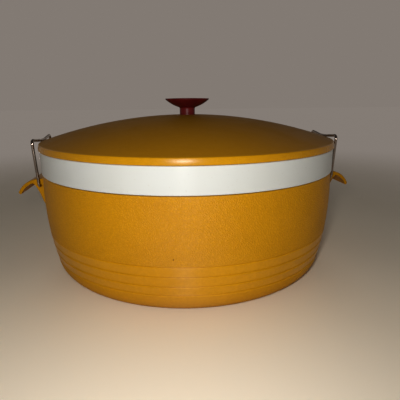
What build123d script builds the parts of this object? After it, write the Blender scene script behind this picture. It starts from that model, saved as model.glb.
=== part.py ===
from build123d import *
import math
import os

# Insulated serving bowl with a domed lid held down by two wire bails.
# Millimetres. +Z is up, the base stands on Z = 0, and the handles lie along X.

os.makedirs("parts", exist_ok=True)

# ---------------------------------------------------------------- outer shell
FOOT_OUTER_R = 107.5
FOOT_INNER_R = 94.0
FOOT_RECESS = 1.5
BASE_ROUND_MID = (116.5, 5.7)
RIB_LINES = [(120.6, 16.1), (122.2, 23.3), (123.7, 31.1), (124.9, 38.7)]
RIB_GROOVE_DEPTH = 0.35
RIB_SHOULDER = 0.9
RIB_ROUND_IN = 0.08
RIB_ROUND_DOWN = 0.42
RIB_GROOVE_HALF = 0.15
RIB_STEP = 0.1
RIB_LIP = 0.35
WALL_MID = (126.75, 65.0)
WALL_TOP = (126.2, 86.7)
NECK_R = 124.4
NECK_TOP_Z = 101.0
NECK_INNER_R = 122.0
SHELL_FLOOR_Z = 4.0
SHELL_INSIDE = [
    (92.0, 4.0),
    (107.0, 4.4),
    (113.0, 8.0),
    (117.4, 16.0),
    (120.4, 30.0),
    (122.6, 45.0),
    (123.9, 62.0),
    (123.8, 80.0),
    (NECK_INNER_R, 86.0),
    (NECK_INNER_R, NECK_TOP_Z),
]

# ----------------------------------------------------------------- base plug
PLUG_R = 9.0
PLUG_CLEARANCE = 0.05
PLUG_HEAD_R = 13.0
PLUG_HEAD_Z = 0.3
PLUG_TOP_Z = 5.4

# --------------------------------------------------------------- inner liner
BAND_R = 127.0
BAND_BOTTOM_Z = 87.4
BAND_INNER_R = 124.6
RIM_TOP_Z = 106.0
RIM_UNDER_Z = 103.6
RIM_ROUND = 0.8
MOUTH_R = 112.0
MOUTH_ROUND = 1.2
LEDGE_R = 110.0
LEDGE_Z = 97.6
LINER_T = 2.4
LINER_KNEE_R = 104.0
LINER_KNEE_Z = 42.0
LINER_CORNER_R = 28.0

# ---------------------------------------------------------------------- lid
LID_R = 128.0
LID_BOTTOM_Z = 106.4
LID_APEX_Z = 132.0
LID_CAP_R = 396.9
LID_SHOULDER_R = 1.0
RIM_TILT = 20.0
RIM_LEAN = 0.68
RIM_EDGE = 0.3
LID_T = 2.4
LID_SEAT_Z = 108.4
LID_SEAT_R = 123.6
LID_BOSS_R = 9.0
LID_BOSS_Z = 128.4
FLANGE_R = 125.5
FLANGE_Z = 106.2
PAN_R = 110.9
PAN_BOTTOM_Z = 98.6
PAN_T = 2.2
PAN_ROUND = 1.6
POCKET_Z = 124.4

# --------------------------------------------------------------------- knob
KNOB_SEAT_Z = 131.9
KNOB_SEAT_R = 7.1
STEM_R = 6.75
STEM_TOP_Z = 137.2
STEM_FLARE = [(7.0, 137.95), (7.7, 138.45)]
DISC_UNDER_MID = (13.6, 141.0)
DISC_R = 19.4
DISC_EDGE_Z = 145.0
DISC_TOP_Z = 145.9
DISC_CROWN = 0.4
BORE_R = 3.6
BORE_TOP_Z = 141.6
INSERT_Z = (132.4, 141.4)
SCREW_R = 2.0
SCREW_HOLE_R = 2.2
SCREW_TOP_Z = 140.6
WASHER_R = 6.5
WASHER_T = 1.2
HEAD_R = 4.2
HEAD_H = 2.4

# ------------------------------------------------------------------ handles
TAB_OUTER = [(128.0, 80.9), (139.4, 77.6), (148.0, 68.2)]
TAB_T = 2.7
TAB_ROOT_HALF_Y = 23.5
TAB_TIP_HALF_Y = 19.0
TAB_TIP_ROUND = 3.0
CHEEK_EDGE = [(134.4, 77.6), (131.8, 74.8), (130.1, 71.6), (128.4, 67.7), (125.4, 59.2), (123.0, 56.0)]
CHEEK_T = 3.0
TAB_EDGE_R = 0.8
TIP_EDGE_R = 0.45
CHEEK_EDGE_R = 0.6
PIVOT_X = 127.4
PIVOT_Z = 75.2

# -------------------------------------------------------------------- bails
WIRE_R = 1.2
WIRE_BEND_R = 3.0
PIVOT_CLEARANCE = 0.07
LEG_Y = 27.4
PIN_END_Y = 18.9
TOP_X = 129.5
TOP_Z = 113.5
SEAT_X = 128.64
SEAT_Z = 111.45
SEAT_HALF_Y = 5.0


def cap_z(radius, cap_radius):
    """Height of a spherical cap, concentric with the lid's outer face, at a radius."""
    centre = LID_APEX_Z - LID_CAP_R
    return centre + math.sqrt(cap_radius**2 - radius**2)


def cap_mid(r_a, r_b, cap_radius):
    """A point halfway along the cap's arc between two radii."""
    angle = (math.asin(r_a / cap_radius) + math.asin(r_b / cap_radius)) / 2
    radius = cap_radius * math.sin(angle)
    return (radius, cap_z(radius, cap_radius))


def shell_outside():
    """Draws the outside of the shell from the foot up to the ledge under the white band."""
    low_r, low_z = RIB_LINES[0]
    ThreePointArc((FOOT_OUTER_R, 0), BASE_ROUND_MID, (low_r, low_z - RIB_SHOULDER))
    for index, (r, z) in enumerate(RIB_LINES):
        deep = r - RIB_GROOVE_DEPTH
        ThreePointArc(
            (r, z - RIB_SHOULDER),
            (r - RIB_ROUND_IN, z - RIB_ROUND_DOWN),
            (deep, z - RIB_GROOVE_HALF),
        )
        Line((deep, z - RIB_GROOVE_HALF), (deep, z + RIB_GROOVE_HALF))
        Line((deep, z + RIB_GROOVE_HALF), (r + RIB_STEP, z + RIB_LIP))
        if index + 1 < len(RIB_LINES):
            next_r, next_z = RIB_LINES[index + 1]
            Line((r + RIB_STEP, z + RIB_LIP), (next_r, next_z - RIB_SHOULDER))
    top_r, top_z = RIB_LINES[-1]
    ThreePointArc((top_r + RIB_STEP, top_z + RIB_LIP), WALL_MID, WALL_TOP)


with BuildPart() as outer_shell:
    with BuildSketch(Plane.XZ):
        with BuildLine():
            shell_outside()
            Polyline(
                WALL_TOP,
                (NECK_R, WALL_TOP[1]),
                (NECK_R, NECK_TOP_Z),
                *reversed(SHELL_INSIDE),
                (PLUG_R, SHELL_FLOOR_Z),
                (PLUG_R, FOOT_RECESS),
                (FOOT_INNER_R - 1.5, FOOT_RECESS),
                (FOOT_INNER_R, 0),
                (FOOT_OUTER_R, 0),
            )
        make_face()
    revolve(axis=Axis.Z)

with BuildPart() as envelope:
    with BuildSketch(Plane.XZ):
        with BuildLine():
            shell_outside()
            Polyline(WALL_TOP, (0, WALL_TOP[1]), (0, 0), (FOOT_OUTER_R, 0))
        make_face()
    revolve(axis=Axis.Z)

with BuildPart() as base_plug:
    with BuildSketch(Plane.XZ):
        with BuildLine():
            Polyline(
                (0, PLUG_HEAD_Z),
                (PLUG_HEAD_R - 0.6, PLUG_HEAD_Z),
                (PLUG_HEAD_R, FOOT_RECESS - 0.5),
                (PLUG_HEAD_R, FOOT_RECESS),
                (PLUG_R - PLUG_CLEARANCE, FOOT_RECESS),
                (PLUG_R - PLUG_CLEARANCE, PLUG_TOP_Z - 0.8),
                (PLUG_R - 0.8, PLUG_TOP_Z),
                (0, PLUG_TOP_Z),
                close=True,
            )
        make_face()
    revolve(axis=Axis.Z)

LINER_OUTSIDE = [
    (MOUTH_R + LINER_T, RIM_UNDER_Z),
    (MOUTH_R + LINER_T, LEDGE_Z),
    (LEDGE_R + LINER_T, LEDGE_Z - LINER_T),
    (LINER_KNEE_R + LINER_T, LINER_KNEE_Z),
]
CORNER_X = LINER_KNEE_R - LINER_CORNER_R
LINER_FLOOR_Z = LINER_KNEE_Z - LINER_CORNER_R
OUTER_CORNER_R = LINER_CORNER_R + LINER_T
COS45 = math.cos(math.radians(45))


def liner_corner(radius):
    """Draws the round between the liner's wall and its floor, at one of its two faces."""
    ThreePointArc(
        (CORNER_X + radius, LINER_KNEE_Z),
        (CORNER_X + radius * COS45, LINER_KNEE_Z - radius * COS45),
        (CORNER_X, LINER_KNEE_Z - radius),
    )


with BuildPart() as inner_liner:
    with BuildSketch(Plane.XZ):
        with BuildLine():
            Polyline(
                (BAND_R - 0.4, BAND_BOTTOM_Z),
                (BAND_INNER_R, BAND_BOTTOM_Z),
                (BAND_INNER_R, RIM_UNDER_Z),
                *LINER_OUTSIDE,
            )
            liner_corner(OUTER_CORNER_R)
            Polyline(
                (CORNER_X, LINER_KNEE_Z - OUTER_CORNER_R),
                (0, LINER_KNEE_Z - OUTER_CORNER_R),
                (0, LINER_FLOOR_Z),
                (CORNER_X, LINER_FLOOR_Z),
            )
            liner_corner(LINER_CORNER_R)
            Polyline(
                (LINER_KNEE_R, LINER_KNEE_Z),
                (LEDGE_R, LEDGE_Z),
                (MOUTH_R, LEDGE_Z),
                (MOUTH_R, RIM_TOP_Z - MOUTH_ROUND),
            )
            ThreePointArc(
                (MOUTH_R, RIM_TOP_Z - MOUTH_ROUND),
                (MOUTH_R + MOUTH_ROUND * (1 - COS45), RIM_TOP_Z - MOUTH_ROUND * (1 - COS45)),
                (MOUTH_R + MOUTH_ROUND, RIM_TOP_Z),
            )
            Line((MOUTH_R + MOUTH_ROUND, RIM_TOP_Z), (BAND_R - RIM_ROUND, RIM_TOP_Z))
            ThreePointArc(
                (BAND_R - RIM_ROUND, RIM_TOP_Z),
                (BAND_R - RIM_ROUND * (1 - COS45), RIM_TOP_Z - RIM_ROUND * (1 - COS45)),
                (BAND_R, RIM_TOP_Z - RIM_ROUND),
            )
            Polyline(
                (BAND_R, RIM_TOP_Z - RIM_ROUND),
                (BAND_R, BAND_BOTTOM_Z + 0.4),
                (BAND_R - 0.4, BAND_BOTTOM_Z),
            )
        make_face()
    revolve(axis=Axis.Z)

with BuildPart() as body_foam:
    with BuildSketch(Plane.XZ):
        with BuildLine():
            Polyline(*LINER_OUTSIDE)
            liner_corner(OUTER_CORNER_R)
            Polyline(
                (CORNER_X, LINER_KNEE_Z - OUTER_CORNER_R),
                (0, LINER_KNEE_Z - OUTER_CORNER_R),
                (0, PLUG_TOP_Z),
                (PLUG_R, PLUG_TOP_Z),
                (PLUG_R, SHELL_FLOOR_Z),
                *SHELL_INSIDE,
                (NECK_INNER_R, RIM_UNDER_Z),
                LINER_OUTSIDE[0],
            )
        make_face()
    revolve(axis=Axis.Z)

# The rim's face bows in a little as it rises, and a small round joins it to the cap.
TILT = math.radians(RIM_TILT)
SHOULDER_X = LID_R - RIM_LEAN - LID_SHOULDER_R * math.cos(TILT)
SHOULDER_Z = cap_z(SHOULDER_X, LID_CAP_R - LID_SHOULDER_R)
CAP_ANGLE = math.asin(SHOULDER_X / (LID_CAP_R - LID_SHOULDER_R))
CAP_EDGE_R = LID_CAP_R * math.sin(CAP_ANGLE)
SHOULDER_MID = (math.radians(90) - CAP_ANGLE + TILT) / 2
RIM_FACE_TOP = (LID_R - RIM_LEAN, SHOULDER_Z + LID_SHOULDER_R * math.sin(TILT))
RIM_FACE_LOW = (LID_R, LID_BOTTOM_Z + RIM_EDGE)
RIM_FACE_R = (RIM_FACE_TOP[1] - RIM_FACE_LOW[1]) / math.sin(TILT)
RIM_FACE_MID = (
    LID_R - RIM_FACE_R * (1 - math.cos(TILT / 2)),
    RIM_FACE_LOW[1] + RIM_FACE_R * math.sin(TILT / 2),
)
INNER_CAP_R = LID_CAP_R - LID_T

with BuildPart() as lid_shell:
    with BuildSketch(Plane.XZ):
        with BuildLine():
            Polyline(
                (SCREW_HOLE_R, LID_BOSS_Z),
                (SCREW_HOLE_R, KNOB_SEAT_Z),
                (KNOB_SEAT_R, KNOB_SEAT_Z),
                (KNOB_SEAT_R, cap_z(KNOB_SEAT_R, LID_CAP_R)),
            )
            ThreePointArc(
                (KNOB_SEAT_R, cap_z(KNOB_SEAT_R, LID_CAP_R)),
                cap_mid(KNOB_SEAT_R, CAP_EDGE_R, LID_CAP_R),
                (CAP_EDGE_R, cap_z(CAP_EDGE_R, LID_CAP_R)),
            )
            ThreePointArc(
                (CAP_EDGE_R, cap_z(CAP_EDGE_R, LID_CAP_R)),
                (
                    SHOULDER_X + LID_SHOULDER_R * math.cos(SHOULDER_MID),
                    SHOULDER_Z + LID_SHOULDER_R * math.sin(SHOULDER_MID),
                ),
                RIM_FACE_TOP,
            )
            ThreePointArc(RIM_FACE_TOP, RIM_FACE_MID, RIM_FACE_LOW)
            Polyline(
                RIM_FACE_LOW,
                (LID_R - RIM_EDGE, LID_BOTTOM_Z),
                (FLANGE_R + 0.1, LID_BOTTOM_Z),
                (FLANGE_R + 0.1, LID_SEAT_Z),
                (LID_SEAT_R, LID_SEAT_Z),
                (LID_SEAT_R, cap_z(LID_SEAT_R, INNER_CAP_R)),
            )
            ThreePointArc(
                (LID_SEAT_R, cap_z(LID_SEAT_R, INNER_CAP_R)),
                cap_mid(LID_SEAT_R, LID_BOSS_R, INNER_CAP_R),
                (LID_BOSS_R, cap_z(LID_BOSS_R, INNER_CAP_R)),
            )
            Polyline(
                (LID_BOSS_R, cap_z(LID_BOSS_R, INNER_CAP_R)),
                (LID_BOSS_R, LID_BOSS_Z),
                (SCREW_HOLE_R, LID_BOSS_Z),
            )
        make_face()
    revolve(axis=Axis.Z)

with BuildPart() as lid_liner:
    with BuildSketch(Plane.XZ):
        with BuildLine():
            Line((0, PAN_BOTTOM_Z), (PAN_R - PAN_ROUND, PAN_BOTTOM_Z))
            ThreePointArc(
                (PAN_R - PAN_ROUND, PAN_BOTTOM_Z),
                (PAN_R - PAN_ROUND * (1 - COS45), PAN_BOTTOM_Z + PAN_ROUND * (1 - COS45)),
                (PAN_R, PAN_BOTTOM_Z + PAN_ROUND),
            )
            Polyline(
                (PAN_R, PAN_BOTTOM_Z + PAN_ROUND),
                (PAN_R, FLANGE_Z),
                (FLANGE_R, FLANGE_Z),
                (FLANGE_R, LID_SEAT_Z),
                (PAN_R - PAN_T, LID_SEAT_Z),
                (PAN_R - PAN_T, PAN_BOTTOM_Z + PAN_T),
                (0, PAN_BOTTOM_Z + PAN_T),
                (0, PAN_BOTTOM_Z),
            )
        make_face()
    revolve(axis=Axis.Z)

with BuildPart() as lid_foam:
    with BuildSketch(Plane.XZ):
        with BuildLine():
            Polyline(
                (LID_BOSS_R, cap_z(LID_BOSS_R, INNER_CAP_R)),
                (LID_BOSS_R, POCKET_Z),
                (0, POCKET_Z),
                (0, PAN_BOTTOM_Z + PAN_T),
                (PAN_R - PAN_T, PAN_BOTTOM_Z + PAN_T),
                (PAN_R - PAN_T, LID_SEAT_Z),
                (LID_SEAT_R, LID_SEAT_Z),
                (LID_SEAT_R, cap_z(LID_SEAT_R, INNER_CAP_R)),
            )
            ThreePointArc(
                (LID_SEAT_R, cap_z(LID_SEAT_R, INNER_CAP_R)),
                cap_mid(LID_SEAT_R, LID_BOSS_R, INNER_CAP_R),
                (LID_BOSS_R, cap_z(LID_BOSS_R, INNER_CAP_R)),
            )
        make_face()
    revolve(axis=Axis.Z)

# The knob's top is a shallow cap centred on the axis.
CROWN_EDGE_R = DISC_R - 0.6
CROWN_R = (CROWN_EDGE_R**2 + DISC_CROWN**2) / (2 * DISC_CROWN)
CROWN_HALF = math.asin(CROWN_EDGE_R / CROWN_R) / 2
CROWN_MID = (
    CROWN_R * math.sin(CROWN_HALF),
    DISC_TOP_Z + DISC_CROWN - CROWN_R * (1 - math.cos(CROWN_HALF)),
)

with BuildPart() as knob:
    with BuildSketch(Plane.XZ):
        with BuildLine():
            Polyline(
                (0, BORE_TOP_Z),
                (BORE_R, BORE_TOP_Z),
                (BORE_R, KNOB_SEAT_Z),
                (STEM_R, KNOB_SEAT_Z),
                (STEM_R, STEM_TOP_Z),
            )
            ThreePointArc((STEM_R, STEM_TOP_Z), *STEM_FLARE)
            ThreePointArc(STEM_FLARE[1], DISC_UNDER_MID, (DISC_R - 0.1, DISC_EDGE_Z))
            ThreePointArc(
                (DISC_R - 0.1, DISC_EDGE_Z),
                (DISC_R + 0.15, (DISC_EDGE_Z + DISC_TOP_Z) / 2),
                (CROWN_EDGE_R, DISC_TOP_Z),
            )
            ThreePointArc(
                (CROWN_EDGE_R, DISC_TOP_Z),
                CROWN_MID,
                (0, DISC_TOP_Z + DISC_CROWN),
            )
            Line((0, DISC_TOP_Z + DISC_CROWN), (0, BORE_TOP_Z))
        make_face()
    revolve(axis=Axis.Z)

with BuildPart() as knob_insert:
    with Locations((0, 0, INSERT_Z[0])):
        Cylinder(
            BORE_R,
            INSERT_Z[1] - INSERT_Z[0],
            align=(Align.CENTER, Align.CENTER, Align.MIN),
        )
        Cylinder(
            SCREW_R + PLUG_CLEARANCE,
            INSERT_Z[1] - INSERT_Z[0],
            align=(Align.CENTER, Align.CENTER, Align.MIN),
            mode=Mode.SUBTRACT,
        )

with BuildPart() as knob_screw:
    with Locations((0, 0, LID_BOSS_Z - WASHER_T)):
        Cylinder(
            SCREW_R,
            SCREW_TOP_Z - LID_BOSS_Z + WASHER_T,
            align=(Align.CENTER, Align.CENTER, Align.MIN),
        )
        Cylinder(HEAD_R, HEAD_H, align=(Align.CENTER, Align.CENTER, Align.MAX))
    fillet(knob_screw.faces().sort_by(Axis.Z)[0].edges(), radius=0.9)
    with Locations((0, 0, LID_BOSS_Z - WASHER_T - HEAD_H)):
        Box(3 * HEAD_R, 1.0, 2.4, mode=Mode.SUBTRACT)

with BuildPart() as knob_washer:
    with Locations((0, 0, LID_BOSS_Z - WASHER_T)):
        Cylinder(WASHER_R, WASHER_T, align=(Align.CENTER, Align.CENTER, Align.MIN))
        Cylinder(
            SCREW_HOLE_R,
            WASHER_T,
            align=(Align.CENTER, Align.CENTER, Align.MIN),
            mode=Mode.SUBTRACT,
        )


def circle_centre(a, b, c):
    """Centre of the circle through three points."""
    d = 2 * (a[0] * (b[1] - c[1]) + b[0] * (c[1] - a[1]) + c[0] * (a[1] - b[1]))
    sa = a[0] ** 2 + a[1] ** 2
    sb = b[0] ** 2 + b[1] ** 2
    sc = c[0] ** 2 + c[1] ** 2
    x = (sa * (b[1] - c[1]) + sb * (c[1] - a[1]) + sc * (a[1] - b[1])) / d
    y = (sa * (c[0] - b[0]) + sb * (a[0] - c[0]) + sc * (b[0] - a[0])) / d
    return (x, y)


TAB_CENTRE = circle_centre(*TAB_OUTER)


def inward(point):
    """The point on the tab's inner face facing a point on its outer face."""
    dx = TAB_CENTRE[0] - point[0]
    dz = TAB_CENTRE[1] - point[1]
    length = math.hypot(dx, dz)
    return (point[0] + dx / length * TAB_T, point[1] + dz / length * TAB_T)


TAB_INNER = [inward(point) for point in TAB_OUTER]
ROOT_X = 118.0

with BuildPart() as right_handle:
    with BuildSketch(Plane.XZ):
        with BuildLine():
            Line((ROOT_X, TAB_OUTER[0][1] + 0.8), TAB_OUTER[0])
            ThreePointArc(*TAB_OUTER)
            Line(TAB_OUTER[2], TAB_INNER[2])
            ThreePointArc(*reversed(TAB_INNER))
            Line(TAB_INNER[0], (ROOT_X, TAB_INNER[0][1] + 0.8))
            Line((ROOT_X, TAB_INNER[0][1] + 0.8), (ROOT_X, TAB_OUTER[0][1] + 0.8))
        make_face()
    extrude(amount=TAB_ROOT_HALF_Y, both=True)
    with BuildSketch(Plane.XY.offset(50.0)):
        with BuildLine():
            Polyline(
                (ROOT_X - 1, -TAB_ROOT_HALF_Y),
                (133.0, -TAB_ROOT_HALF_Y),
                (TAB_OUTER[2][0] + 0.5, -TAB_TIP_HALF_Y),
                (TAB_OUTER[2][0] + 0.5, TAB_TIP_HALF_Y),
                (133.0, TAB_ROOT_HALF_Y),
                (ROOT_X - 1, TAB_ROOT_HALF_Y),
                close=True,
            )
        make_face()
        fillet(vertices().group_by(Axis.X)[-1], radius=TAB_TIP_ROUND)
    extrude(amount=50.0, mode=Mode.INTERSECT)
    for side in (-1, 1):
        face_y = side * TAB_ROOT_HALF_Y
        with BuildSketch(Plane.XZ.offset(-face_y)):
            with BuildLine():
                Spline(*CHEEK_EDGE)
                Polyline(
                    CHEEK_EDGE[-1],
                    (ROOT_X, CHEEK_EDGE[-1][1]),
                    (ROOT_X, TAB_OUTER[0][1] - 0.6),
                    (TAB_OUTER[0][0], TAB_OUTER[0][1] - 1.4),
                    CHEEK_EDGE[0],
                )
            make_face()
        extrude(amount=side * CHEEK_T)
    with Locations(Location((PIVOT_X, 0, PIVOT_Z), (90, 0, 0))):
        Cylinder(WIRE_R + PIVOT_CLEARANCE, 4 * TAB_ROOT_HALF_Y, mode=Mode.SUBTRACT)
    add(envelope.part, mode=Mode.SUBTRACT)
    # The outer face of the tab is rounded all round, and the other free edges a little less.
    curved = right_handle.faces().filter_by(GeomType.CYLINDER)
    fillet(curved.sort_by(SortBy.AREA)[-1].edges(), radius=TAB_EDGE_R)
    tip_line = right_handle.edges().filter_by(
        lambda edge: abs(edge.center().X - TAB_INNER[2][0]) < 0.5
        and abs(edge.center().Z - TAB_INNER[2][1]) < 0.5
        and edge.length > TAB_TIP_HALF_Y
    )
    fillet(tip_line, radius=TIP_EDGE_R)
    cheek_edges = right_handle.edges().filter_by(
        lambda edge: abs(abs(edge.center().Y) - TAB_ROOT_HALF_Y) < 0.01
        and edge.center().X > PIVOT_X - 0.5
        and edge.center().Z < PIVOT_Z - 3.0
    )
    fillet(cheek_edges, radius=CHEEK_EDGE_R)

with BuildPart() as left_handle:
    add(mirror(right_handle.part, about=Plane.YZ))

BAIL_POINTS = [
    (PIVOT_X, -PIN_END_Y, PIVOT_Z),
    (PIVOT_X, -LEG_Y, PIVOT_Z),
    (TOP_X, -LEG_Y, TOP_Z),
    (SEAT_X, -SEAT_HALF_Y, SEAT_Z),
    (SEAT_X, SEAT_HALF_Y, SEAT_Z),
    (TOP_X, LEG_Y, TOP_Z),
    (PIVOT_X, LEG_Y, PIVOT_Z),
    (PIVOT_X, PIN_END_Y, PIVOT_Z),
]

with BuildPart() as right_bail:
    with BuildLine() as wire_path:
        FilletPolyline(*BAIL_POINTS, radius=WIRE_BEND_R)
    with BuildSketch(Plane(origin=BAIL_POINTS[0], z_dir=(0, -1, 0))):
        Circle(WIRE_R)
    sweep()
    ends = right_bail.faces().filter_by(GeomType.PLANE)
    chamfer(ends.edges(), length=0.3)

with BuildPart() as left_bail:
    add(mirror(right_bail.part, about=Plane.YZ))

for name, piece in (
    ("outer_shell", outer_shell),
    ("base_plug", base_plug),
    ("inner_liner", inner_liner),
    ("body_foam", body_foam),
    ("left_handle", left_handle),
    ("right_handle", right_handle),
    ("left_bail", left_bail),
    ("right_bail", right_bail),
    ("lid_shell", lid_shell),
    ("lid_liner", lid_liner),
    ("lid_foam", lid_foam),
    ("knob", knob),
    ("knob_insert", knob_insert),
    ("knob_screw", knob_screw),
    ("knob_washer", knob_washer),
):
    piece.part.label = name
    export_step(piece.part, "parts/" + name + ".step")
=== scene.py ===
import math

import bpy
from mathutils import Matrix, Vector


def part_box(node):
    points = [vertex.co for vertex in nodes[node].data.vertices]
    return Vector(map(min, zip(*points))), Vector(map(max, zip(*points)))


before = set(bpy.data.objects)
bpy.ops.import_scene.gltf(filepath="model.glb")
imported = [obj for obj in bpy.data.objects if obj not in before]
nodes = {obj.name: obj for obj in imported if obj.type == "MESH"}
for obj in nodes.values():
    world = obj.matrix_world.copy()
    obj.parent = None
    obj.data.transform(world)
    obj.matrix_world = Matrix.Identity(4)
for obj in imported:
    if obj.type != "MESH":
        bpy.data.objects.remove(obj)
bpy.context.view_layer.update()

# Heights on the CAD's outer wall and lid, in metres, used by the materials' masks.
RIB_LINES = (0.0161, 0.0233, 0.0311, 0.0387)
GRAIN_FROM = RIB_LINES[-1] + 0.0006
LID_RIM_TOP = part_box("lid_shell")[0].z + 0.0048

# The one small dark nick in the wall's grain, low at the front.
NICK = (-0.0197, -0.1239, 0.0446)
NICK_RADIUS = 0.0007

# Colours are linear. Tones are the two colours that a surface wanders between.
SHELL_TONES = ((0.515, 0.248, 0.0020), (0.585, 0.290, 0.0040))
LID_TONES = ((0.470, 0.228, 0.0020), (0.520, 0.258, 0.0040))
# The handles' tones are a darker copy of the gold: painted shade.
SHADED_HANDLE_TONES = ((0.420, 0.198, 0.0020), (0.480, 0.232, 0.0030))
PLUG_TONES = ((0.390, 0.175, 0.0020), (0.550, 0.270, 0.0040))
# Painted shade, laid into the wall grain's creases and over the band below the ribs.
GOLD_SHADE = (0.390, 0.175, 0.0020)
# Painted shade for the top of the lid's dome.
GOLD_DOME_SHADE = (0.120, 0.040, 0.0)
# Painted shade for the grooves between the ribs.
GOLD_GROOVE_SHADE = (0.300, 0.110, 0.0010)
GOLD_FOOT = (0.200, 0.080, 0.012)
GOLD_NICK = (0.140, 0.045, 0.002)
GOLD_SHELL_HAIR = (0.72, 0.36, 0.05)
GOLD_HAIR = (0.74, 0.40, 0.07)
WHITE_TONES = ((0.605, 0.637, 0.632), (0.590, 0.617, 0.597))
WHITE_SPECK = (0.45, 0.42, 0.36)
WHITE_HAIR = (0.50, 0.47, 0.40)
MAROON_TONES = ((0.100, 0.0062, 0.0068), (0.138, 0.0105, 0.0100))
MAROON_WORN = (0.14, 0.018, 0.015)
MAROON_HAIR = (0.18, 0.04, 0.03)
# The wire's tint is darkened and browned: a painted reflection of dark surroundings.
WIRE = (0.40, 0.34, 0.29)
STEEL = (0.56, 0.56, 0.55)
TARNISH = (0.13, 0.09, 0.06)
BRASS_TONES = ((0.72, 0.50, 0.20), (0.42, 0.27, 0.11))
FOAM_TONES = ((0.78, 0.66, 0.36), (0.66, 0.52, 0.24))
# Painted shade for the hollows between the foam's cells.
FOAM_PORE_SHADE = (0.36, 0.26, 0.10)
FLOOR_TONES = ((0.94, 0.862, 0.715), (0.97, 0.892, 0.745))
SURROUND = (0.286, 0.254, 0.229)
OVERHEAD = (0.060, 0.055, 0.050)
BLACK = (0.0, 0.0, 0.0)


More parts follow.
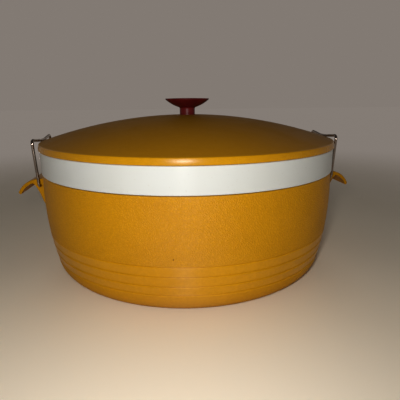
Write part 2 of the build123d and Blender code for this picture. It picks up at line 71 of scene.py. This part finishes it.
# ------------------------------------------------------------------ node helpers
class Graph:
    """Builds one material's node tree with short calls."""

    def __init__(self, name):
        self.material = bpy.data.materials.new(name)
        self.material.use_nodes = True
        self.tree = self.material.node_tree
        self.tree.nodes.clear()
        out = self.tree.nodes.new("ShaderNodeOutputMaterial")
        self.shader = self.tree.nodes.new("ShaderNodeBsdfPrincipled")
        self.tree.links.new(self.shader.outputs["BSDF"], out.inputs["Surface"])
        self.coords = self.tree.nodes.new("ShaderNodeTexCoord").outputs["Object"]
        split = self.tree.nodes.new("ShaderNodeSeparateXYZ")
        self.tree.links.new(self.coords, split.inputs[0])
        self.x, self.y, self.z = split.outputs

    def feed(self, socket, value):
        """Links an output, or sets a plain value, on an input socket."""
        if isinstance(value, bpy.types.NodeSocket):
            self.tree.links.new(value, socket)
        elif isinstance(value, tuple) and len(value) == 3 and socket.type == "RGBA":
            socket.default_value = (*value, 1.0)
        else:
            socket.default_value = value

    def math(self, operation, a, b=0.0):
        node = self.tree.nodes.new("ShaderNodeMath")
        node.operation = operation
        self.feed(node.inputs[0], a)
        self.feed(node.inputs[1], b)
        return node.outputs[0]

    def plus(self, a, b):
        return self.math("ADD", a, b)

    def times(self, a, b):
        return self.math("MULTIPLY", a, b)

    def larger(self, a, b):
        return self.math("MAXIMUM", a, b)

    def away_from(self, value, level):
        """How far a value is from a level, either way."""
        return self.math("ABSOLUTE", self.math("SUBTRACT", value, level))

    def vector_math(self, operation, a, b=None):
        node = self.tree.nodes.new("ShaderNodeVectorMath")
        node.operation = operation
        self.feed(node.inputs[0], a)
        if b is not None:
            self.feed(node.inputs[1], b)
        return node

    def ramp(self, value, low, high, to_low=0.0, to_high=1.0, smooth=True):
        """Maps value from low..high to to_low..to_high, held at both ends."""
        node = self.tree.nodes.new("ShaderNodeMapRange")
        node.interpolation_type = "SMOOTHSTEP" if smooth else "LINEAR"
        self.feed(node.inputs["Value"], value)
        node.inputs["From Min"].default_value = low
        node.inputs["From Max"].default_value = high
        node.inputs["To Min"].default_value = to_low
        node.inputs["To Max"].default_value = to_high
        return node.outputs["Result"]

    def mix(self, factor, a, b):
        """Mixes two colours."""
        node = self.tree.nodes.new("ShaderNodeMix")
        node.data_type = "RGBA"
        self.feed(node.inputs["Factor"], factor)
        self.feed(node.inputs["A"], a)
        self.feed(node.inputs["B"], b)
        return node.outputs["Result"]

    def stain(self, colour, mask, amount, other):
        """Lays an amount of another colour over a colour where a mask is 1."""
        return self.mix(self.times(mask, amount), colour, other)

    def mapped(self, scale, location=(0.0, 0.0, 0.0), rotation=(0.0, 0.0, 0.0)):
        """Object coordinates scaled along each axis, turned and moved."""
        node = self.tree.nodes.new("ShaderNodeMapping")
        node.inputs["Location"].default_value = location
        node.inputs["Rotation"].default_value = rotation
        node.inputs["Scale"].default_value = scale
        self.tree.links.new(self.coords, node.inputs["Vector"])
        return node.outputs[0]

    def noise(self, scale, detail=2.0, roughness=0.5, vector=None, distortion=0.0):
        node = self.tree.nodes.new("ShaderNodeTexNoise")
        node.inputs["Scale"].default_value = scale
        node.inputs["Detail"].default_value = detail
        node.inputs["Roughness"].default_value = roughness
        node.inputs["Distortion"].default_value = distortion
        self.tree.links.new(vector or self.coords, node.inputs["Vector"])
        return node.outputs[0]

    def cells(self, scale, feature="DISTANCE_TO_EDGE", vector=None):
        node = self.tree.nodes.new("ShaderNodeTexVoronoi")
        node.feature = feature
        node.inputs["Scale"].default_value = scale
        self.tree.links.new(vector or self.coords, node.inputs["Vector"])
        return node.outputs["Distance"]

    def warped(self, amount, scale):
        """Object coordinates pushed about by noise, so that cells aren't straight-sided."""
        push = self.tree.nodes.new("ShaderNodeTexNoise")
        push.inputs["Scale"].default_value = scale
        push.inputs["Detail"].default_value = 1.0
        self.tree.links.new(self.coords, push.inputs["Vector"])
        shift = self.vector_math("MULTIPLY_ADD", push.outputs["Color"], (amount, amount, amount))
        self.tree.links.new(self.coords, shift.inputs[2])
        return shift.outputs[0]

    def near(self, point, radius, squash):
        """1 at a point on the object, falling to 0 at a radius from it."""
        offset = self.vector_math("SUBTRACT", self.coords, point).outputs[0]
        squashed = self.vector_math("MULTIPLY", offset, squash).outputs[0]
        distance = self.vector_math("LENGTH", squashed).outputs["Value"]
        return self.ramp(distance, radius * 0.3, radius, 1.0, 0.0)

    def hairlines(self, seed, density=0.64, size=90.0):
        """Fine scratches: the narrow level lines of a stretched noise, in patches."""
        turned = self.mapped(
            scale=(1.0, 0.09, 1.0),
            location=(seed * 1.7, seed * 0.9, seed * 0.4),
            rotation=(0.3 * seed, 0.5 + seed, 0.8 * seed),
        )
        field = self.noise(size, detail=1.0, vector=turned)
        thin = self.ramp(self.away_from(field, 0.5), 0.0, 0.006, 1.0, 0.0)
        patch = self.ramp(self.noise(28.0, vector=turned), density, density + 0.06)
        return self.times(thin, patch)

    def brushed_upright(self, amount):
        """Spreads the shader's highlights up and down a turned wall."""
        node = self.tree.nodes.new("ShaderNodeTangent")
        node.direction_type = "RADIAL"
        node.axis = "Z"
        self.tree.links.new(node.outputs[0], self.shader.inputs["Tangent"])
        self.shader.inputs["Anisotropic"].default_value = amount
        self.shader.inputs["Anisotropic Rotation"].default_value = 0.25

    def bump(self, height, distance, strength=1.0, normal=None):
        node = self.tree.nodes.new("ShaderNodeBump")
        node.inputs["Strength"].default_value = strength
        node.inputs["Distance"].default_value = distance
        self.feed(node.inputs["Height"], height)
        if normal is not None:
            self.tree.links.new(normal, node.inputs["Normal"])
        return node.outputs[0]

    def finish(self, colour, roughness, normal=None, **plain):
        """Connects the shader. Plain values go straight on its own sockets."""
        self.feed(self.shader.inputs["Base Color"], colour)
        self.feed(self.shader.inputs["Roughness"], roughness)
        if normal is not None:
            self.tree.links.new(normal, self.shader.inputs["Normal"])
        for name, value in plain.items():
            self.shader.inputs[name.replace("_", " ")].default_value = value
        return self.material


# --------------------------------------------------------------------- materials
def gold_shell():
    """Mustard moulded plastic: leather grain on the wall, smooth glossy ribs below."""
    g = Graph("shell gold")
    wall = g.ramp(g.z, GRAIN_FROM - 0.0003, GRAIN_FROM + 0.0003)

    # The leather grain: rounded cells with creases between them.
    grain_at = g.warped(0.0011, 520.0)
    pebble = g.ramp(g.cells(620.0, vector=grain_at), 0.0, 0.34)
    fine = g.cells(1500.0, feature="F1", vector=grain_at)
    grain = g.times(g.plus(pebble, g.times(fine, 0.35)), wall)
    # The creases between the cells get painted shade.
    shaded_crease = g.times(g.ramp(pebble, 0.0, 0.55, 1.0, 0.0), wall)

    # Painted shade darkens the grooves between the ribs, and the ribs' edges are duller.
    groove_shade = 0.0
    dull = 0.0
    for z in RIB_LINES:
        off = g.away_from(g.z, z)
        groove_shade = g.larger(groove_shade, g.ramp(off, 0.0001, 0.0005, 1.0, 0.0))
        dull = g.larger(dull, g.ramp(off, 0.0009, 0.0015, 1.0, 0.0))
    # Painted shade: the colour is darkened below the lowest rib line.
    shaded_under_ribs = g.ramp(g.z, RIB_LINES[0] - 0.0020, RIB_LINES[0], 0.24, 0.0)
    matt_under_ribs = g.ramp(g.z, RIB_LINES[0] - 0.0012, RIB_LINES[0], 0.55, 0.0)
    foot = g.times(g.ramp(g.z, 0.0004, 0.0050, 1.0, 0.0), g.noise(160.0, detail=4.0))
    nick = g.near(NICK, NICK_RADIUS, (1.0, 1.0, 0.6))
    hair = g.larger(g.hairlines(1.0), g.hairlines(2.3, density=0.66, size=70.0))

    broad = g.noise(14.0, detail=3.0)
    mottle = g.noise(420.0, detail=2.0, roughness=0.65)
    tone = g.plus(g.times(broad, 0.55), g.times(mottle, 0.45))
    colour = g.mix(g.ramp(tone, 0.34, 0.66), *SHELL_TONES)
    # Painted shade in the grain's creases.
    colour = g.stain(colour, shaded_crease, 0.30, GOLD_SHADE)
    # Painted shade in the grooves between the ribs.
    colour = g.stain(colour, groove_shade, 0.30, GOLD_GROOVE_SHADE)
    # Painted shade below the lowest rib line.
    colour = g.mix(shaded_under_ribs, colour, GOLD_SHADE)
    colour = g.stain(colour, foot, 0.55, GOLD_FOOT)
    colour = g.stain(colour, nick, 0.7, GOLD_NICK)
    colour = g.stain(colour, hair, 0.25, GOLD_SHELL_HAIR)

    rough = g.ramp(wall, 0.0, 1.0, 0.36, 0.66, smooth=False)
    rough = g.plus(rough, g.ramp(g.noise(60.0, detail=4.0), 0.3, 0.7, -0.04, 0.05))
    rough = g.plus(rough, g.times(hair, 0.12))
    rough = g.plus(rough, g.times(dull, 0.25))
    rough = g.plus(rough, matt_under_ribs)

    normal = g.bump(grain, 0.00021, 0.9)
    normal = g.bump(g.times(g.noise(230.0, detail=2.0), wall), 0.00004, 0.5, normal)
    cut = g.plus(g.times(hair, 0.2), nick)
    normal = g.bump(g.times(cut, -1.0), 0.0003, 0.6, normal)
    g.brushed_upright(0.92)
    return g.finish(colour, rough, normal, Specular_IOR_Level=0.42)


def gold_smooth(name, tones, seed, rough_low, rough_high, gloss=0.15, satin_and_shade_above=None):
    """The same plastic without grain, rougher and darkened by painted shade above a height where
    one is given.
    """
    g = Graph(name)
    hair = g.larger(g.hairlines(seed + 0.4), g.hairlines(seed + 3.1, density=0.62, size=120.0))
    smudge = g.ramp(g.noise(34.0, detail=5.0, roughness=0.6, distortion=0.6), 0.35, 0.7)

    broad = g.noise(11.0 + seed, detail=3.0)
    mottle = g.noise(300.0, detail=3.0, roughness=0.6)
    tone = g.plus(g.times(broad, 0.6), g.times(mottle, 0.4))
    colour = g.mix(g.ramp(tone, 0.33, 0.67), *tones)
    colour = g.stain(colour, hair, 0.25, GOLD_HAIR)
    rough = g.plus(g.times(smudge, rough_high - rough_low), rough_low)
    if satin_and_shade_above is not None:
        satin_and_shade = g.ramp(g.z, satin_and_shade_above - 0.0004, satin_and_shade_above + 0.0004)
        rough = g.plus(rough, g.times(satin_and_shade, 0.30))
        # Painted shade darkens the colour above that height.
        colour = g.stain(colour, satin_and_shade, 0.30, GOLD_DOME_SHADE)
    rough = g.plus(rough, g.times(hair, 0.12))

    normal = g.bump(g.noise(900.0, detail=2.0), 0.00005, 0.6)
    normal = g.bump(g.times(hair, -1.0), 0.00006, 0.5, normal)
    return g.finish(colour, rough, normal, Specular_IOR_Level=gloss)


def white_plastic(name, seed, rough=0.36):
    """Glossy white plastic, very slightly yellowed, with fine use marks."""
    g = Graph(name)
    speck = g.ramp(g.noise(700.0, detail=1.0), 0.70, 0.76)
    hair = g.larger(g.hairlines(seed), g.hairlines(seed + 1.9, density=0.60, size=130.0))
    smear = g.ramp(g.noise(40.0, detail=4.0, distortion=0.5), 0.35, 0.7, 0.0, 0.08)

    tone = g.noise(9.0 + seed, detail=4.0, roughness=0.55)
    colour = g.mix(g.ramp(tone, 0.35, 0.7), *WHITE_TONES)
    colour = g.stain(colour, speck, 0.25, WHITE_SPECK)
    colour = g.stain(colour, hair, 0.12, WHITE_HAIR)
    roughness = g.plus(g.plus(smear, rough), g.times(hair, 0.15))

    normal = g.bump(g.noise(120.0, detail=2.0), 0.00006, 0.5)
    normal = g.bump(g.times(hair, -1.0), 0.00006, 0.5, normal)
    g.brushed_upright(0.85)
    return g.finish(colour, roughness, normal, Specular_IOR_Level=0.16)


def maroon_plastic():
    """Dark red hard plastic, with worn paler edges and fine scratches."""
    g = Graph("knob maroon")
    geometry = g.tree.nodes.new("ShaderNodeNewGeometry")
    edge = g.ramp(geometry.outputs["Pointiness"], 0.53, 0.60)
    worn = g.times(edge, g.ramp(g.noise(320.0, detail=3.0), 0.40, 0.60))
    hair = g.larger(g.hairlines(5.2, density=0.56, size=160.0), g.hairlines(6.6, density=0.58))

    tone = g.noise(110.0, detail=3.0, roughness=0.6)
    colour = g.mix(g.ramp(tone, 0.35, 0.65), *MAROON_TONES)
    colour = g.stain(colour, worn, 0.30, MAROON_WORN)
    colour = g.stain(colour, hair, 0.15, MAROON_HAIR)
    rough = g.ramp(g.noise(150.0, detail=4.0), 0.35, 0.7, 0.34, 0.44)
    rough = g.plus(rough, g.times(hair, 0.15))
    normal = g.bump(g.noise(650.0, detail=2.0), 0.00004, 0.5)
    return g.finish(colour, rough, normal, Specular_IOR_Level=0.22)


def wire_metal(name, tint, rough, line_rough):
    """Plated steel with faint drawing lines and a few dull, tarnished patches."""
    g = Graph(name)
    tarnish = g.ramp(g.noise(190.0, detail=5.0, roughness=0.62), 0.50, 0.72)
    lines = g.noise(1200.0, detail=2.0, vector=g.mapped((1.0, 1.0, 0.06)))
    colour = g.stain(tint, tarnish, 0.7, TARNISH)
    rough_all = g.plus(g.times(tarnish, 0.25), rough)
    rough_all = g.plus(rough_all, g.ramp(lines, 0.35, 0.65, 0.0, line_rough))
    return g.finish(colour, rough_all, g.bump(lines, 0.00003, 0.5), Metallic=1.0)


def brass_metal():
    """Brass with browner patches and fine turning lines."""
    g = Graph("brass insert")
    patina = g.ramp(g.noise(260.0, detail=4.0), 0.42, 0.68)
    colour = g.mix(patina, *BRASS_TONES)
    lines = g.noise(1800.0, detail=1.0, vector=g.mapped((0.2, 0.2, 1.0)))
    rough = g.ramp(patina, 0.0, 1.0, 0.24, 0.42)
    return g.finish(colour, rough, g.bump(lines, 0.00004, 0.6), Metallic=1.0)


def foam_core(name, seed):
    """Rigid cream foam with open cells."""
    g = Graph(name)
    cell = g.ramp(g.cells(900.0 + seed), 0.0, 0.22)
    blot = g.noise(50.0 + seed, detail=4.0)
    colour = g.mix(g.ramp(blot, 0.3, 0.7), *FOAM_TONES)
    # Painted shade in the hollows at the cells' edges.
    colour = g.mix(g.ramp(cell, 0.0, 0.6, 0.35, 0.0), colour, FOAM_PORE_SHADE)
    rough = g.ramp(blot, 0.3, 0.7, 0.8, 0.95)
    return g.finish(colour, rough, g.bump(cell, 0.0003, 0.9), Specular_IOR_Level=0.2)


def pale_floor():
    """A pale floor that fades into the surround far out, so that no horizon shows."""
    g = Graph("pale floor")
    fade_from = 0.28
    fade_to = 0.95
    pale = g.mix(g.ramp(g.noise(3.0, detail=4.0), 0.35, 0.65), *FLOOR_TONES)
    reach = g.math("SQRT", g.plus(g.times(g.x, g.x), g.times(g.y, g.y)))
    fade = g.ramp(reach, fade_from, fade_to)
    rough = g.ramp(g.noise(9.0, detail=3.0), 0.3, 0.7, 0.38, 0.46)
    rough = g.plus(rough, g.times(fade, 0.5))
    g.feed(g.shader.inputs["Emission Color"], SURROUND)
    g.feed(g.shader.inputs["Emission Strength"], fade)
    return g.finish(g.mix(fade, pale, BLACK), rough, Specular_IOR_Level=0.12)


# The handles take the darker, painted-shade copy of the gold.
handle_gold = gold_smooth("handle gold", SHADED_HANDLE_TONES, 3.0, 0.32, 0.42, gloss=0.10)
lid_gold = gold_smooth(
    "lid gold", LID_TONES, 1.0, 0.22, 0.295, gloss=0.20, satin_and_shade_above=LID_RIM_TOP
)
bail_wire = wire_metal("bail wire", WIRE, 0.14, 0.08)
screw_steel = wire_metal("screw steel", STEEL, 0.24, 0.18)

dressing = {
    "outer_shell": gold_shell(),
    "base_plug": gold_smooth("plug gold", PLUG_TONES, 7.0, 0.34, 0.46),
    "inner_liner": white_plastic("liner white", 2.0),
    "body_foam": foam_core("body foam", 0.0),
    "left_handle": handle_gold,
    "right_handle": handle_gold,
    "lid_shell": lid_gold,
    "lid_liner": white_plastic("pan white", 4.0, rough=0.40),
    "lid_foam": foam_core("lid foam", 60.0),
    "knob": maroon_plastic(),
    "knob_insert": brass_metal(),
    "knob_screw": screw_steel,
    "knob_washer": screw_steel,
    "left_bail": bail_wire,
    "right_bail": bail_wire,
}

for name, material in dressing.items():
    mesh = nodes[name].data
    mesh.materials.clear()
    mesh.materials.append(material)

# ------------------------------------------------------------------------- stage
FLOOR_HALF = 6.0
SKY_FROM = 0.23
SKY_TO = 0.45

corners = [(-1, -1), (1, -1), (1, 1), (-1, 1)]
floor_mesh = bpy.data.meshes.new("floor")
floor_mesh.from_pydata(
    [(x * FLOOR_HALF, y * FLOOR_HALF, 0) for x, y in corners], [], [(0, 1, 2, 3)]
)
floor_mesh.materials.append(pale_floor())
floor = bpy.data.objects.new("floor", floor_mesh)
bpy.context.scene.collection.objects.link(floor)

# The surround is even up to a slope, and darker overhead.
world = bpy.data.worlds.new("soft surround")
bpy.context.scene.world = world
world.use_nodes = True
sky = world.node_tree
background = sky.nodes["Background"]
direction = sky.nodes.new("ShaderNodeTexCoord").outputs["Generated"]
split = sky.nodes.new("ShaderNodeSeparateXYZ")
sky.links.new(direction, split.inputs[0])
height = sky.nodes.new("ShaderNodeMapRange")
height.interpolation_type = "SMOOTHSTEP"
height.inputs["From Min"].default_value = SKY_FROM
height.inputs["From Max"].default_value = SKY_TO
sky.links.new(split.outputs["Z"], height.inputs["Value"])
shade = sky.nodes.new("ShaderNodeMix")
shade.data_type = "RGBA"
shade.inputs["A"].default_value = (*SURROUND, 1.0)
shade.inputs["B"].default_value = (*OVERHEAD, 1.0)
sky.links.new(height.outputs["Result"], shade.inputs["Factor"])
sky.links.new(shade.outputs["Result"], background.inputs["Color"])
background.inputs["Strength"].default_value = 1.0

# ------------------------------------------------------------------------ camera
# The camera stands at a distance and height from the middle of the base, turned
# round to the left, and looks a little to the right of the middle. Angles are in degrees.
CAMERA_DISTANCE = 0.3567
CAMERA_HEIGHT = 0.1448
VIEW_TURN = 4.3
VIEW_HEADING = 1.75
VIEW_PITCH = 14.61
VIEW_ROLL = 0.4
LENS = 34.65
SENSOR = 36.0

turn = math.radians(VIEW_TURN)
camera_data = bpy.data.cameras.new("camera")
camera_data.sensor_width = SENSOR
camera_data.lens = LENS
camera_data.clip_start = 0.01
camera = bpy.data.objects.new("camera", camera_data)
bpy.context.scene.collection.objects.link(camera)
camera_place = Vector(
    (-CAMERA_DISTANCE * math.sin(turn), -CAMERA_DISTANCE * math.cos(turn), CAMERA_HEIGHT)
)
heading = Matrix.Rotation(-math.radians(VIEW_TURN + VIEW_HEADING), 4, "Z")
tilt = Matrix.Rotation(math.radians(90.0 - VIEW_PITCH), 4, "X")
roll = Matrix.Rotation(-math.radians(VIEW_ROLL), 4, "Z")
camera.matrix_world = Matrix.Translation(camera_place) @ heading @ tilt @ roll
bpy.context.scene.camera = camera

# ------------------------------------------------------------------------ lights
KEY_COLOUR = (1.0, 0.965, 0.93)
FILL_COLOUR = (1.0, 0.97, 0.95)
KEY_LEFT = 0.016
KEY_UP = 0.020
KEY_SIZE = 0.030
KEY_POWER = 0.65
BACK_OUT = 0.85
BACK_UP = 0.70
BACK_SIZE = 0.7
BACK_POWER = 0.3
SUN_STRENGTH = 0.7
SUN_ANGLE = 30.0
SUN_DIRECTION = (0.0, -1.0, -0.17)


def facing(direction):
    """The turn that points a light along a direction."""
    return Vector(direction).to_track_quat("-Z", "Y").to_matrix().to_4x4()


def soft_light(name, place, target, size, power, colour):
    """A round soft light at a place, facing a target."""
    data = bpy.data.lights.new(name, "AREA")
    data.shape = "DISK"
    data.size = size
    data.energy = power
    data.color = colour
    light = bpy.data.objects.new(name, data)
    bpy.context.scene.collection.objects.link(light)
    place = Vector(place)
    light.matrix_world = Matrix.Translation(place) @ facing(Vector(target) - place)
    light.visible_camera = False


# The key light is small and close beside the camera, like a flash.
camera_right = heading @ Vector((1.0, 0.0, 0.0))
key_place = camera_place - camera_right * KEY_LEFT + Vector((0.0, 0.0, KEY_UP))
soft_light("key", key_place, (0.0, 0.0, 0.075), KEY_SIZE, KEY_POWER, KEY_COLOUR)
for side, name in ((-1.0, "back_left"), (1.0, "back_right")):
    back_place = (side * BACK_OUT, BACK_OUT, BACK_UP)
    soft_light(name, back_place, (0.0, 0.0, 0.06), BACK_SIZE, BACK_POWER, FILL_COLOUR)

# A low, broad sun from behind, left out of reflections.
low_sun = bpy.data.lights.new("behind", "SUN")
low_sun.energy = SUN_STRENGTH
low_sun.angle = math.radians(SUN_ANGLE)
low_sun.color = FILL_COLOUR
behind = bpy.data.objects.new("behind", low_sun)
bpy.context.scene.collection.objects.link(behind)
behind.matrix_world = facing(SUN_DIRECTION)
behind.visible_glossy = False

bpy.context.scene.view_settings.view_transform = "Standard"
bpy.context.scene.view_settings.gamma = 0.833
